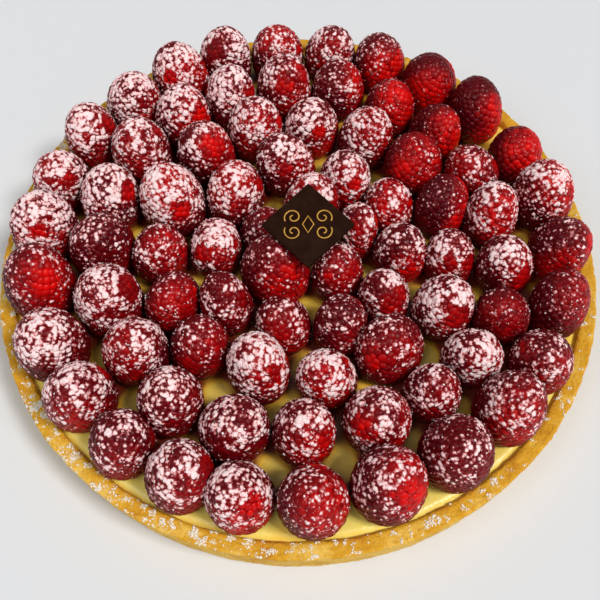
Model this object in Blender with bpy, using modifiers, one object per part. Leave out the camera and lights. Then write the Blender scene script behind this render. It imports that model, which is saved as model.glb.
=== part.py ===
"""A family raspberry tart: a pastry case, its custard, rings of raspberries and a plaque.

Frame: metres, +Z up, the origin at the middle of the underside. The front of the tart, the
side that its photograph was taken from, faces -Y. Run it in Blender 4.5.
"""

import math
import random
from dataclasses import dataclass, replace

import bmesh
import bpy
from mathutils import Matrix, Vector

MM = 0.001
GAP = 0.3 * MM                     # between pieces that touch on the real tart

# The pastry case
CASE_RADIUS = 120 * MM             # a tart ring of 24 cm
CASE_HEIGHT = 22 * MM
RIM_WIDTH = 6.8 * MM
FLOOR_THICKNESS = 4 * MM
CASE_STEPS = 72
WALL_FOOT_INSET = 1.2 * MM         # the wall leans out a little on its way up
FOOT_ROUND = 1.6 * MM              # soft edge where the wall meets the underside
RIM_ROUND = 1.3 * MM               # soft edges of the rim
CRAG_DEPTH = 0.55 * MM             # how far the baked rim sinks and shrinks here and there
CRAG_WAVES = ((5, 0.4), (11, 1.9), (17, 4.2), (29, 2.6))   # waves in a turn, and their phase

# The custard
CUSTARD_TOP = CASE_HEIGHT - 1.7 * MM
CUSTARD_EDGE_DROP = 1.0 * MM       # the fill falls away from the rim
CUSTARD_EDGE_WIDTH = 2.6 * MM
CUSTARD_STEPS = 36

# The raspberries
BERRY_FOOT = CUSTARD_TOP + GAP
BERRY_WIDTH = 21.4 * MM            # in the middle of the tart, before they swell
BERRY_OUTER_EXTRA = 2.6 * MM       # how much wider the outermost berries are
BERRY_LEFT_EXTRA = 1.2 * MM        # and those at the left than the middle ones
BERRY_FRONT_EXTRA = 0.8 * MM
BERRY_WIDTH_SPREAD = 1.5 * MM
BERRY_ASPECT = 1.14                # height over that width
BERRY_ASPECT_SPREAD = 0.07
BERRY_LEAN = 2.2 * MM              # the most that a tip is off centre
BERRY_SEGMENTS = 8
BERRY_ROWS = ((0.0, 0.86), (0.27, 1.0), (0.62, 0.90), (0.88, 0.58))   # height, half width
DRUPELET_DEPTH = 0.05              # dip between two drupelets, over the berry's width
TANGENT_SPREAD = 1.6 * MM
RADIAL_SPREAD = 1.6 * MM
BERRY_SEED = 11

# Neighbours that touch
TOUCHING_PAIRS = 22                # the closest neighbours are pressed together
BITE = 1.9 * MM                    # how far those two run into each other
CLEARANCE = 0.12 * MM              # between the envelopes of all other neighbours
SETTLE_PASSES = 160
SETTLE_SHARE = 0.3                 # of a crossing that one pass takes away
RIM_CLEARANCE = 0.6 * MM           # between a berry's foot and the case
NEAR = 36 * MM                     # berries nearer than this can touch
SIDEWAYS = (-30, -20, -10, 0, 10, 20, 30)   # degrees beside the line between two berries

# How the berries swell into the room beside them
SWELL_PASSES = 30
SWELL_STEP = 0.12 * MM
SWELL_MOST = 1.16                  # of the first width
SHIFT_MOST = 1.5 * MM
STRETCH_STEP = 0.012
STRETCH_MOST = 0.09                # how oval a berry may get, over its half width
SWELL_WAYS = 12                    # directions that a berry tries

# The plaque of dark chocolate
PLAQUE_SIDE = 24.5 * MM
PLAQUE_THICKNESS = 1.8 * MM
PLAQUE_BEVEL = 0.25 * MM
PLAQUE_AT = (3.7 * MM, -4.6 * MM)
PLAQUE_TURN = math.radians(44)
PLAQUE_TIP_FORWARD = math.radians(6)
PLAQUE_TIP_LEFT = math.radians(-1.5)
PLAQUE_MARGIN = 3 * MM             # berries this far beside the plaque still count as under it


@dataclass(frozen=True)
class Ring:
    """One ring of raspberries, counted anticlockwise from its first berry."""

    name: str
    count: int
    radius: float                  # mm
    first_angle: float             # degrees, 0 towards +X
    shift: tuple[float, float]     # mm, of the ring's middle from the tart's
    sway: float                    # mm, how far the berries crowd together twice a turn
    sway_angle: float              # degrees
    seeds: tuple[int, int, int]    # for the chances along the ring, across it and in width


RINGS = (
    Ring("outer", 26, 101.6, -168.5, (-0.9, -0.5), 2.7, 73, (13884, 12285, 126634)),
    Ring("second", 21, 79.3, -177.4, (2.7, 0.4), 2.1, -148, (27404, 30600, 25131)),
    Ring("third", 15, 57.9, -176.7, (2.7, 1.0), 1.5, -16, (119617, 70775, 124214)),
    Ring("fourth", 10, 37.4, -182.2, (4.4, -2.2), 0.0, 0, (52232, 60549, 26303)),
    Ring("inner", 5, 19.9, -128.1, (3.5, 1.3), 0.0, 0, (53734, 586, 22401)),
)


@dataclass
class Berry:
    """One raspberry: where it stands, its size, how its tip leans and its turn."""

    label: str
    x: float
    y: float
    width: float
    height: float
    lean: tuple[float, float]
    turn: float
    partner: "Berry | None" = None
    stretch: float = 0.0           # how oval it is, over its half width
    axis: float = 0.0              # the way it is longest, in radians

    def reach(self, angle: float) -> float:
        """Return the half width of its widest row in a direction."""
        return self.width / 2 * (1 + self.stretch * math.cos(2 * (angle - self.axis)))

    def distance(self, other: "Berry") -> float:
        """Return the distance between two berries' middles."""
        return math.hypot(self.x - other.x, self.y - other.y)

    def crossing(self, other: "Berry") -> float:
        """Return how far two berries' envelopes run into each other."""
        return (self.width + other.width) / 2 - self.distance(other)


def spread(seed: int, count: int) -> list[float]:
    """Return count random numbers of about -2 to 2, without far outliers."""
    rng = random.Random(seed)
    return [max(-1.8, min(1.8, rng.gauss(0, 1))) for _ in range(count)]


def berry_width(x: float, y: float, chance: float) -> float:
    """Return the width of a berry: larger outside, at the left and in front."""
    out = (x * x + y * y) / CASE_RADIUS**2
    slope = BERRY_LEFT_EXTRA * x + BERRY_FRONT_EXTRA * y
    return BERRY_WIDTH + BERRY_OUTER_EXTRA * out - slope / CASE_RADIUS + BERRY_WIDTH_SPREAD * chance


def ring_berries(ring: Ring, rng: random.Random) -> list[Berry]:
    """Return the berries of one ring where the hand put them down."""
    along, across, widths = (spread(seed, ring.count) for seed in ring.seeds)
    berries = []
    for i in range(ring.count):
        angle = math.radians(ring.first_angle + 360 * i / ring.count)
        radius = ring.radius * MM + RADIAL_SPREAD * across[i]
        step = ring.sway * MM * math.cos(2 * angle - math.radians(ring.sway_angle))
        step += TANGENT_SPREAD * along[i]
        x = ring.shift[0] * MM + radius * math.cos(angle) - step * math.sin(angle)
        y = ring.shift[1] * MM + radius * math.sin(angle) + step * math.cos(angle)
        width = berry_width(x, y, widths[i])
        height = width * (BERRY_ASPECT + BERRY_ASPECT_SPREAD * rng.uniform(-1, 1))
        lean = (BERRY_LEAN * rng.uniform(-1, 1), BERRY_LEAN * rng.uniform(-1, 1))
        label = f"{ring.name}_{i + 1:02d}"
        berries.append(Berry(label, x, y, width, height, lean, rng.uniform(0, math.tau)))
    return berries


def pair_up(berries: list[Berry]) -> None:
    """Make partners of the closest neighbours, each berry in one pair at most."""
    couples = [(a.crossing(b), i, j) for i, a in enumerate(berries)
               for j, b in enumerate(berries[:i])]
    left = TOUCHING_PAIRS
    for _, i, j in sorted(couples, reverse=True):
        a, b = berries[i], berries[j]
        if left and not a.partner and not b.partner:
            a.partner, b.partner = b, a
            left -= 1


def keep_in(berry: Berry) -> None:
    """Move a berry whose foot stands on the rim back onto the custard."""
    foot = BERRY_ROWS[0][1] * berry.width / 2
    limit = CASE_RADIUS - RIM_WIDTH - RIM_CLEARANCE - foot
    out = math.hypot(berry.x, berry.y)
    if out > limit:
        berry.x, berry.y = berry.x * limit / out, berry.y * limit / out


def settle(berries: list[Berry]) -> None:
    """Push crossing neighbours apart and partners together until all of them fit."""
    for _ in range(SETTLE_PASSES):
        for i, a in enumerate(berries):
            for b in berries[:i]:
                too_close = a.crossing(b) + CLEARANCE
                if a.partner is b:
                    too_close = a.crossing(b) - BITE
                elif too_close < 0:
                    continue
                away = Vector((a.x - b.x, a.y - b.y)).normalized() * too_close * SETTLE_SHARE
                a.x, a.y = a.x + away.x, a.y + away.y
                b.x, b.y = b.x - away.x, b.y - away.y
            keep_in(a)


def gap_between(a: Berry, b: Berry) -> float:
    """Return the narrowest gap between two berries' envelopes."""
    towards = math.atan2(b.y - a.y, b.x - a.x)
    gaps = []
    for sideways in SIDEWAYS:
        angle = towards + math.radians(sideways)
        x = a.x + a.reach(angle) * math.cos(angle) - b.x
        y = a.y + a.reach(angle) * math.sin(angle) - b.y
        gaps.append(math.hypot(x, y) - b.reach(math.atan2(y, x)))
    return min(gaps)


def fits(berry: Berry, neighbours: list[Berry]) -> bool:
    """Tell whether a berry clears the rim and its neighbours, and doesn't bite its partner deep."""
    foot = BERRY_ROWS[0][1] * berry.reach(math.atan2(berry.y, berry.x))
    if math.hypot(berry.x, berry.y) + foot > CASE_RADIUS - RIM_WIDTH - RIM_CLEARANCE:
        return False
    return all(gap_between(berry, other) > (-BITE if other is berry.partner else CLEARANCE)
               for other in neighbours)


def swollen(berry: Berry, home: Berry) -> list[Berry]:
    """Return larger copies of a berry: as it is, moved a little each way, then more oval."""
    grown = berry.width + SWELL_STEP
    copies = [replace(berry, width=grown)]
    ways = [math.tau * i / SWELL_WAYS for i in range(SWELL_WAYS)]
    for way in ways:
        x, y = berry.x + SWELL_STEP * math.cos(way), berry.y + SWELL_STEP * math.sin(way)
        if math.hypot(x - home.x, y - home.y) < SHIFT_MOST:
            copies.append(replace(berry, x=x, y=y, width=grown))
    if berry.stretch < STRETCH_MOST:
        copies += [replace(berry, width=berry.width + SWELL_STEP / 2, axis=way / 2,
                           stretch=berry.stretch + STRETCH_STEP) for way in ways]
    return copies


def swell(berries: list[Berry]) -> None:
    """Let each berry grow, shift and turn oval into the room that is left beside it."""
    homes = [replace(berry) for berry in berries]
    near = [[o for o in berries if o is not b and b.distance(o) < NEAR] for b in berries]
    for _ in range(SWELL_PASSES):
        for berry, home, neighbours in zip(berries, homes, near):
            if berry.width > home.width * SWELL_MOST:
                continue
            larger = next((c for c in swollen(berry, home) if fits(c, neighbours)), berry)
            berry.x, berry.y, berry.width = larger.x, larger.y, larger.width
            berry.stretch, berry.axis = larger.stretch, larger.axis


def face_partners(berries: list[Berry]) -> None:
    """Turn both berries of a pair so that a drupelet of each presses on the other."""
    for berry in berries:
        if berry.partner:
            towards = math.atan2(berry.partner.y - berry.y, berry.partner.x - berry.x)
            berry.turn = towards


def lay_berries() -> list[Berry]:
    """Return all raspberries at their final places."""
    rng = random.Random(BERRY_SEED)
    berries = [berry for ring in RINGS for berry in ring_berries(ring, rng)]
    pair_up(berries)
    settle(berries)
    swell(berries)
    face_partners(berries)
    return berries


def clear_scene() -> None:
    """Remove all objects that are in the scene."""
    for obj in list(bpy.data.objects):
        bpy.data.objects.remove(obj, do_unlink=True)


def new_collection(name: str) -> bpy.types.Collection:
    """Return a new collection, linked to the scene."""
    collection = bpy.data.collections.new(name)
    bpy.context.scene.collection.children.link(collection)
    return collection


def new_material(name: str, color: tuple[float, float, float], roughness: float) -> bpy.types.Material:
    """Return a Principled material that isn't metallic."""
    material = bpy.data.materials.new(name)
    material.use_nodes = True
    shader = material.node_tree.nodes["Principled BSDF"]
    shader.inputs["Base Color"].default_value = (*color, 1)
    shader.inputs["Roughness"].default_value = roughness
    shader.inputs["Metallic"].default_value = 0
    material.diffuse_color = (*color, 1)
    return material


def new_object(name: str, mesh: bpy.types.Mesh, collection: bpy.types.Collection,
               material: bpy.types.Material | None = None) -> bpy.types.Object:
    """Link a mesh to the scene as a named object with its material."""
    obj = bpy.data.objects.new(name, mesh)
    collection.objects.link(obj)
    if material:
        mesh.materials.clear()
        mesh.materials.append(material)
    return obj


def turned_object(name: str, profile: list[tuple[float, float]], steps: int,
                  collection: bpy.types.Collection, material: bpy.types.Material) -> bpy.types.Object:
    """Turn a profile of (radius, height) points about Z, from the axis to the axis."""
    bm = bmesh.new()
    verts = [bm.verts.new((radius, 0, height)) for radius, height in profile]
    for upper, lower in zip(verts, verts[1:]):
        bm.edges.new((upper, lower))
    mesh = bpy.data.meshes.new(name)
    bm.to_mesh(mesh)
    bm.free()
    obj = new_object(name, mesh, collection, material)
    screw = obj.modifiers.new("turn", "SCREW")
    screw.steps = steps
    screw.render_steps = steps
    screw.use_merge_vertices = True
    screw.merge_threshold = 0.0001 * MM
    screw.use_smooth_shade = False
    return obj


def baked_mesh(obj: bpy.types.Object) -> bpy.types.Mesh:
    """Return a new mesh of an object with its modifiers applied."""
    bpy.context.view_layer.update()
    depsgraph = bpy.context.evaluated_depsgraph_get()
    return bpy.data.meshes.new_from_object(obj.evaluated_get(depsgraph), depsgraph=depsgraph)


def crag(angle: float) -> float:
    """Return how deep the baked rim has sunk at an angle, from 0 to 1."""
    wave = sum(math.sin(waves * angle + phase) for waves, phase in CRAG_WAVES)
    return 0.5 + 0.5 * wave / len(CRAG_WAVES)


def build_case(collection: bpy.types.Collection, material: bpy.types.Material) -> bpy.types.Object:
    """Build the pastry case: a floor and a low wall with an uneven rim."""
    foot = CASE_RADIUS - WALL_FOOT_INSET
    inner = CASE_RADIUS - RIM_WIDTH
    shoulder = CASE_HEIGHT - RIM_ROUND
    profile = [
        (0, FLOOR_THICKNESS),
        (inner, FLOOR_THICKNESS),
        (inner, shoulder),
        (inner + RIM_ROUND, CASE_HEIGHT),
        (CASE_RADIUS - RIM_ROUND, CASE_HEIGHT),
        (CASE_RADIUS, shoulder),
        (foot, FOOT_ROUND),
        (foot - FOOT_ROUND, 0),
        (0, 0),
    ]
    obj = turned_object("crust", profile, CASE_STEPS, collection, material)
    mesh = baked_mesh(obj)
    obj.modifiers.clear()
    obj.data = mesh
    for vert in mesh.vertices:
        across = math.hypot(vert.co.x, vert.co.y)
        on_crown = vert.co.z > CASE_HEIGHT - RIM_ROUND / 2
        if on_crown:
            sunk = CRAG_DEPTH * crag(math.atan2(vert.co.y, vert.co.x))
            vert.co.z -= sunk
            vert.co.x -= sunk * vert.co.x / across
            vert.co.y -= sunk * vert.co.y / across
    return obj


def build_custard(collection: bpy.types.Collection, material: bpy.types.Material) -> bpy.types.Object:
    """Build the custard that fills the case, with a soft drop at its edge."""
    radius = CASE_RADIUS - RIM_WIDTH - GAP
    profile = [
        (0, CUSTARD_TOP),
        (radius - CUSTARD_EDGE_WIDTH, CUSTARD_TOP),
        (radius, CUSTARD_TOP - CUSTARD_EDGE_DROP),
        (radius, FLOOR_THICKNESS + GAP),
        (0, FLOOR_THICKNESS + GAP),
    ]
    return turned_object("custard", profile, CUSTARD_STEPS, collection, material)


def place_on_profile(bm: bmesh.types.BMesh, berry: Berry) -> None:
    """Move a sphere's rows of vertices to the berry's profile, every second row half a step on."""
    rows = sorted({round(vert.co.z, 4) for vert in bm.verts})
    step = math.tau / BERRY_SEGMENTS
    for vert in bm.verts:
        row = rows.index(round(vert.co.z, 4))
        if row == 0 or row == len(rows) - 1:
            height = 0 if row == 0 else 1
            vert.co = (0, 0, height * berry.height)
            continue
        height, reach = BERRY_ROWS[row - 1]
        number = round(math.atan2(vert.co.y, vert.co.x) / step)
        angle = berry.turn + (number + 0.5 * (row % 2)) * step
        radius = reach * berry.reach(angle)
        vert.co = (radius * math.cos(angle), radius * math.sin(angle), height * berry.height)


def berry_mesh(berry: Berry) -> bpy.types.Mesh:
    """Return the solid of one raspberry: a flat foot, and bumps from its widest row upwards."""
    bm = bmesh.new()
    bmesh.ops.create_uvsphere(bm, u_segments=BERRY_SEGMENTS, v_segments=len(BERRY_ROWS) + 1, radius=1)
    place_on_profile(bm, berry)
    bmesh.ops.triangulate(bm, faces=bm.faces[:], quad_method="SHORT_EDGE")
    bm.normal_update()
    underside = BERRY_ROWS[0][0] * berry.height
    sides = [face for face in bm.faces if min(vert.co.z for vert in face.verts) > underside]
    bmesh.ops.poke(bm, faces=sides, offset=-DRUPELET_DEPTH * berry.width)
    for vert in bm.verts:
        share = (vert.co.z / berry.height) ** 2
        vert.co += Vector((berry.lean[0] * share, berry.lean[1] * share, 0))
    bmesh.ops.translate(bm, verts=bm.verts, vec=(berry.x, berry.y, BERRY_FOOT))
    mesh = bpy.data.meshes.new(berry.label)
    bm.to_mesh(mesh)
    bm.free()
    return mesh


def joined_mesh(berry: Berry, scratch: bpy.types.Collection) -> bpy.types.Mesh:
    """Return one mesh of two raspberries that press into each other."""
    partner = new_object("partner", berry_mesh(berry.partner), scratch)
    obj = new_object("union", berry_mesh(berry), scratch)
    union = obj.modifiers.new("union", "BOOLEAN")
    union.operation = "UNION"
    union.solver = "EXACT"
    union.object = partner
    mesh = baked_mesh(obj)
    bpy.data.objects.remove(partner, do_unlink=True)
    bpy.data.objects.remove(obj, do_unlink=True)
    return mesh


def build_berries(berries: list[Berry], collection: bpy.types.Collection,
                  scratch: bpy.types.Collection, material: bpy.types.Material) -> list[bpy.types.Object]:
    """Build each raspberry, or each pair of touching ones, as an object of its own."""
    objects = []
    joined = set()
    for berry in berries:
        if berry.label in joined:
            continue
        if berry.partner:
            joined.add(berry.partner.label)
            mesh = joined_mesh(berry, scratch)
            name = f"berries_{berry.label}_{berry.partner.label}"
        else:
            mesh = berry_mesh(berry)
            name = f"berry_{berry.label}"
        objects.append(new_object(name, mesh, collection, material))
    return objects


def resting_height(berries: list[bpy.types.Object], pose: Matrix) -> float:
    """Return the lowest height of the plaque's middle where it clears every berry."""
    half = PLAQUE_SIDE / 2 + PLAQUE_MARGIN
    to_plaque = pose.inverted()
    above_plane = [0.0]
    for obj in berries:
        for vert in obj.data.vertices:
            place = to_plaque @ vert.co
            if abs(place.x) < half and abs(place.y) < half:
                above_plane.append(place.z)
    upright = (pose.to_3x3() @ Vector((0, 0, 1))).z
    return (max(above_plane) + PLAQUE_THICKNESS / 2 + GAP) / upright


def build_plaque(berries: list[bpy.types.Object], collection: bpy.types.Collection,
                 material: bpy.types.Material) -> bpy.types.Object:
    """Build the square chocolate plaque that lies on the middle berries."""
    pose = Matrix.Rotation(PLAQUE_TIP_FORWARD, 4, "X") @ Matrix.Rotation(PLAQUE_TIP_LEFT, 4, "Y")
    pose = pose @ Matrix.Rotation(PLAQUE_TURN, 4, "Z")
    pose = Matrix.Translation((*PLAQUE_AT, 0)) @ pose
    bm = bmesh.new()
    bmesh.ops.create_cube(bm, size=1)
    bmesh.ops.scale(bm, verts=bm.verts, vec=(PLAQUE_SIDE, PLAQUE_SIDE, PLAQUE_THICKNESS))
    mesh = bpy.data.meshes.new("plaque")
    bm.to_mesh(mesh)
    bm.free()
    obj = new_object("plaque", mesh, collection, material)
    lift = resting_height(berries, pose)
    obj.matrix_world = Matrix.Translation((0, 0, lift)) @ pose
    bevel = obj.modifiers.new("soft edges", "BEVEL")
    bevel.width = PLAQUE_BEVEL
    bevel.segments = 1
    return obj


def main() -> None:
    """Build the whole tart."""
    clear_scene()
    parts = new_collection("raspberry_tart")
    scratch = new_collection("cutters")
    pastry = new_material("pastry", (0.66, 0.37, 0.09), 0.75)
    custard = new_material("custard", (0.78, 0.62, 0.20), 0.35)
    fruit = new_material("fruit", (0.36, 0.012, 0.018), 0.4)
    chocolate = new_material("chocolate", (0.02, 0.013, 0.012), 0.35)
    build_case(parts, pastry)
    build_custard(parts, custard)
    berries = build_berries(lay_berries(), parts, scratch, fruit)
    build_plaque(berries, parts, chocolate)
    for obj in parts.objects:
        print(obj.name, len(obj.data.polygons))


if __name__ == "__main__":
    main()
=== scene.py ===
"""The looks of the raspberry tart: fruit, icing sugar, pastry, custard and plaque.

Every size is in metres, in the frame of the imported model: +Z up, -Y towards the front.
"""

import logging
import math
from collections.abc import Iterable
from dataclasses import dataclass, field
from enum import Enum

import bmesh
import bpy
import numpy as np
from mathutils import Matrix, Vector, noise


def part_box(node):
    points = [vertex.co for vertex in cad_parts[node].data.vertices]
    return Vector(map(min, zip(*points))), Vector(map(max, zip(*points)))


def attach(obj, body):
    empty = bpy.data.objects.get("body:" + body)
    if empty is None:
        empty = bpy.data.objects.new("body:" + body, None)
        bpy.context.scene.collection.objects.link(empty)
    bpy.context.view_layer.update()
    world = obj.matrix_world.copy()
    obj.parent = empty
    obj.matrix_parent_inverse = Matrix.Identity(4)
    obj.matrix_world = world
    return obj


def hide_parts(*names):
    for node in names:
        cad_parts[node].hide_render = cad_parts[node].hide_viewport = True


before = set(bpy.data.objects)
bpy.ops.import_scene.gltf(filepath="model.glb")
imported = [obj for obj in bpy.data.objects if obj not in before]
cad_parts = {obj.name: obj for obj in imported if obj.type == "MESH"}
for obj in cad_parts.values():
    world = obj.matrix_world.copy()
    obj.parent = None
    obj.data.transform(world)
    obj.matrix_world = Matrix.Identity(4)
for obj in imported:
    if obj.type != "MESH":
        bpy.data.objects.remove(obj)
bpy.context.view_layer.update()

MM = 0.001
GOLDEN_ANGLE = math.pi * (3 - math.sqrt(5))
MERGE_DISTANCE = 0.001 * MM
SEED_SHIFT = 17.3              # how far a seed moves a noise pattern, in lumps
SUGAR_ROUGHNESS = 0.92
log = logging.getLogger("raspberry_tart")

Socket = bpy.types.NodeSocket
Color = tuple[float, float, float]
Outline = list[tuple[float, float]]


class Slot(Enum):
    """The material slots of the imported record."""

    PASTRY = "pastry"
    CUSTARD = "custard"
    FRUIT = "fruit"
    CHOCOLATE = "chocolate"


# ---------------------------------------------------------------- numbers and arrays


def smoothstep(low: float, high: float, value: np.ndarray | float) -> np.ndarray:
    """Return 0 below low, 1 above high and a soft rise between them."""
    t = np.clip((np.asarray(value, float) - low) / (high - low), 0, 1)
    return t * t * (3 - 2 * t)


def perlin(points: np.ndarray, size: float, seed: int = 0) -> np.ndarray:
    """Return soft noise at points.

    Args:
        points: Places in metres, one row each.
        size: The size of the noise's lumps in metres.
        seed: Moves the pattern to another place.

    Returns:
        One value of about -1 to 1 for each point.
    """
    places = points / size + seed * SEED_SHIFT
    return np.array([noise.noise(place) for place in places.tolist()])


def unit(vectors: np.ndarray) -> np.ndarray:
    """Return the vectors, each at length 1."""
    return vectors / np.linalg.norm(vectors, axis=-1, keepdims=True)


def places_of(verts: Iterable[bmesh.types.BMVert | bpy.types.MeshVertex]) -> np.ndarray:
    """Return where points of a mesh lie, one row each."""
    return np.array([vert.co for vert in verts])


def around(angles: np.ndarray, radius: np.ndarray | float, height: np.ndarray) -> np.ndarray:
    """Return points at angles round Z, one row each."""
    return np.stack([radius * np.cos(angles), radius * np.sin(angles), height], axis=1)


def polar(points: np.ndarray) -> tuple[np.ndarray, np.ndarray]:
    """Return how far points are from Z, and their angles round it."""
    return np.hypot(points[:, 0], points[:, 1]), np.arctan2(points[:, 1], points[:, 0])


def turned(frames: np.ndarray, vectors: np.ndarray) -> np.ndarray:
    """Return each vector turned by its own matrix."""
    return np.einsum("nij,nj->ni", frames, vectors)


def upright_frames(normals: np.ndarray, spins: np.ndarray) -> np.ndarray:
    """Return turning matrices that stand +Z up along each normal.

    Args:
        normals: Unit vectors, one row each.
        spins: How far each shape turns round its normal, in radians.

    Returns:
        A matrix for each normal, as an array of N by 3 by 3.
    """
    helper = np.where(np.abs(normals[:, 2:3]) > 0.9, [[1.0, 0, 0]], [[0, 0, 1.0]])
    side = unit(np.cross(helper, normals))
    front = np.cross(normals, side)
    cos, sin = np.cos(spins)[:, None], np.sin(spins)[:, None]
    return np.stack([side * cos + front * sin, front * cos - side * sin, normals], axis=2)


@dataclass
class Stamp:
    """A small shape that is repeated many times in one mesh."""

    points: np.ndarray
    triangles: np.ndarray

    @classmethod
    def from_bmesh(cls, bm: bmesh.types.BMesh) -> "Stamp":
        """Take the shape from a bmesh, as triangles.

        Args:
            bm: The bmesh, freed here.

        Returns:
            The shape.
        """
        bmesh.ops.triangulate(bm, faces=bm.faces[:])
        bm.verts.index_update()
        points = places_of(bm.verts)
        triangles = np.array([[vert.index for vert in face.verts] for face in bm.faces])
        bm.free()
        return cls(points, triangles)

    @classmethod
    def ball(cls, segments: int, rings: int, cut_at: float | None = None) -> "Stamp":
        """Make a ball of radius 1, or the part of it above a height.

        Args:
            segments: Its sides round Z.
            rings: Its rows from pole to pole.
            cut_at: The height that it is cut at and closed, if any.

        Returns:
            The shape.
        """
        bm = bmesh.new()
        bmesh.ops.create_uvsphere(bm, u_segments=segments, v_segments=rings, radius=1)
        if cut_at is not None:
            everything = bm.verts[:] + bm.edges[:] + bm.faces[:]
            cut = bmesh.ops.bisect_plane(bm, geom=everything, plane_co=(0, 0, cut_at),
                                         plane_no=(0, 0, -1), clear_outer=True)
            rim = [part for part in cut["geom_cut"] if isinstance(part, bmesh.types.BMEdge)]
            bmesh.ops.holes_fill(bm, edges=rim)
        return cls.from_bmesh(bm)

    def at(self, places: np.ndarray, frames: np.ndarray,
           scales: np.ndarray) -> tuple[np.ndarray, np.ndarray]:
        """Repeat the shape.

        Args:
            places: Where each copy goes, N by 3.
            frames: How each copy is turned, N by 3 by 3.
            scales: The half sizes of each copy, N by 3.

        Returns:
            The points and the triangles of all copies.
        """
        sized = self.points[None] * scales[:, None]
        points = np.einsum("nij,nvj->nvi", frames, sized) + places[:, None]
        count = len(self.points)
        triangles = self.triangles[None] + np.arange(len(places))[:, None, None] * count
        return points.reshape(-1, 3), triangles.reshape(-1, 3)


@dataclass
class Batch:
    """Points and triangles that become one mesh, with a value per point for each attribute."""

    points: list[np.ndarray] = field(default_factory=list)
    triangles: list[np.ndarray] = field(default_factory=list)
    values: dict[str, list[np.ndarray]] = field(default_factory=dict)
    count: int = 0

    def add(self, points: np.ndarray, triangles: np.ndarray, **values: np.ndarray) -> None:
        """Add shapes.

        Args:
            points: Their points.
            triangles: Their triangles, counted from their own first point.
            values: For each attribute a value per point, or one for all.
        """
        self.points.append(points)
        self.triangles.append(triangles + self.count)
        self.count += len(points)
        for name, value in values.items():
            self.values.setdefault(name, []).append(np.broadcast_to(value, len(points)))

    def to_object(self, name: str, smooth: bool) -> bpy.types.Object:
        """Make the object.

        Args:
            name: The piece's name.
            smooth: Whether its faces are shaded smooth.

        Returns:
            The new object, linked to the scene.
        """
        mesh = bpy.data.meshes.new(name)
        mesh.from_pydata(np.concatenate(self.points), [], np.concatenate(self.triangles))
        mesh.polygons.foreach_set("use_smooth", np.full(len(mesh.polygons), smooth))
        write_values(mesh, **{label: np.concatenate(parts) for label, parts in self.values.items()})
        mesh.update()
        return link_object(name, mesh)


def write_values(mesh: bpy.types.Mesh, **values: np.ndarray) -> None:
    """Give a mesh attributes.

    Args:
        mesh: The mesh.
        values: For each attribute a value per point.
    """
    for name, value in values.items():
        layer = mesh.attributes.new(name, "FLOAT", "POINT")
        layer.data.foreach_set("value", value.astype(np.float32))


def link_object(name: str, data: bpy.types.ID) -> bpy.types.Object:
    """Put data into the scene as an object.

    Args:
        name: The object's name.
        data: A mesh, curve, light or camera.

    Returns:
        The object.
    """
    obj = bpy.data.objects.new(name, data)
    bpy.context.scene.collection.objects.link(obj)
    return obj


def object_from_bmesh(name: str, bm: bmesh.types.BMesh, smooth: bool = True) -> bpy.types.Object:
    """Turn a bmesh into an object.

    Args:
        name: The object's name.
        bm: The bmesh, freed here.
        smooth: Whether its faces are shaded smooth.

    Returns:
        The object, linked to the scene.
    """
    mesh = bpy.data.meshes.new(name)
    bm.to_mesh(mesh)
    bm.free()
    mesh.polygons.foreach_set("use_smooth", np.full(len(mesh.polygons), smooth))
    return link_object(name, mesh)


def spin_section(section: Outline, steps: int) -> bmesh.types.BMesh:
    """Turn a section about Z, all the way round.

    Args:
        section: Its points as (radius, height).
        steps: How many faces go round.

    Returns:
        The closed surface, with its faces outwards.
    """
    bm = bmesh.new()
    verts = [bm.verts.new((radius, 0, height)) for radius, height in section]
    edges = [bm.edges.new(pair) for pair in zip(verts, verts[1:])]
    bmesh.ops.spin(bm, geom=verts + edges, cent=(0, 0, 0), axis=(0, 0, 1), angle=math.tau,
                   steps=steps, use_merge=True)
    bmesh.ops.remove_doubles(bm, verts=bm.verts[:], dist=MERGE_DISTANCE)
    bmesh.ops.holes_fill(bm, edges=[side for side in bm.edges if side.is_boundary])
    bmesh.ops.recalc_face_normals(bm, faces=bm.faces[:])
    return bm


def finish_piece(obj: bpy.types.Object, material: bpy.types.Material, slot: Slot | None,
                 *nodes: str) -> bpy.types.Object:
    """Dress a piece and tie it to the frame.

    Args:
        obj: The piece.
        material: Its material.
        slot: The record's slot for the piece, if any; it is not used.
        nodes: The CAD nodes that it replaces.

    Returns:
        The same piece.
    """
    obj.data.materials.clear()
    obj.data.materials.append(material)
    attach(obj, "root")
    if nodes:
        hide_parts(*nodes)
    log.info("%s: %d faces", obj.name, len(obj.data.polygons))
    return obj


def node_points(name: str) -> np.ndarray:
    """Return the points of a CAD node, one row each."""
    return places_of(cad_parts[name].data.vertices)


# ---------------------------------------------------------------- materials


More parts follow.
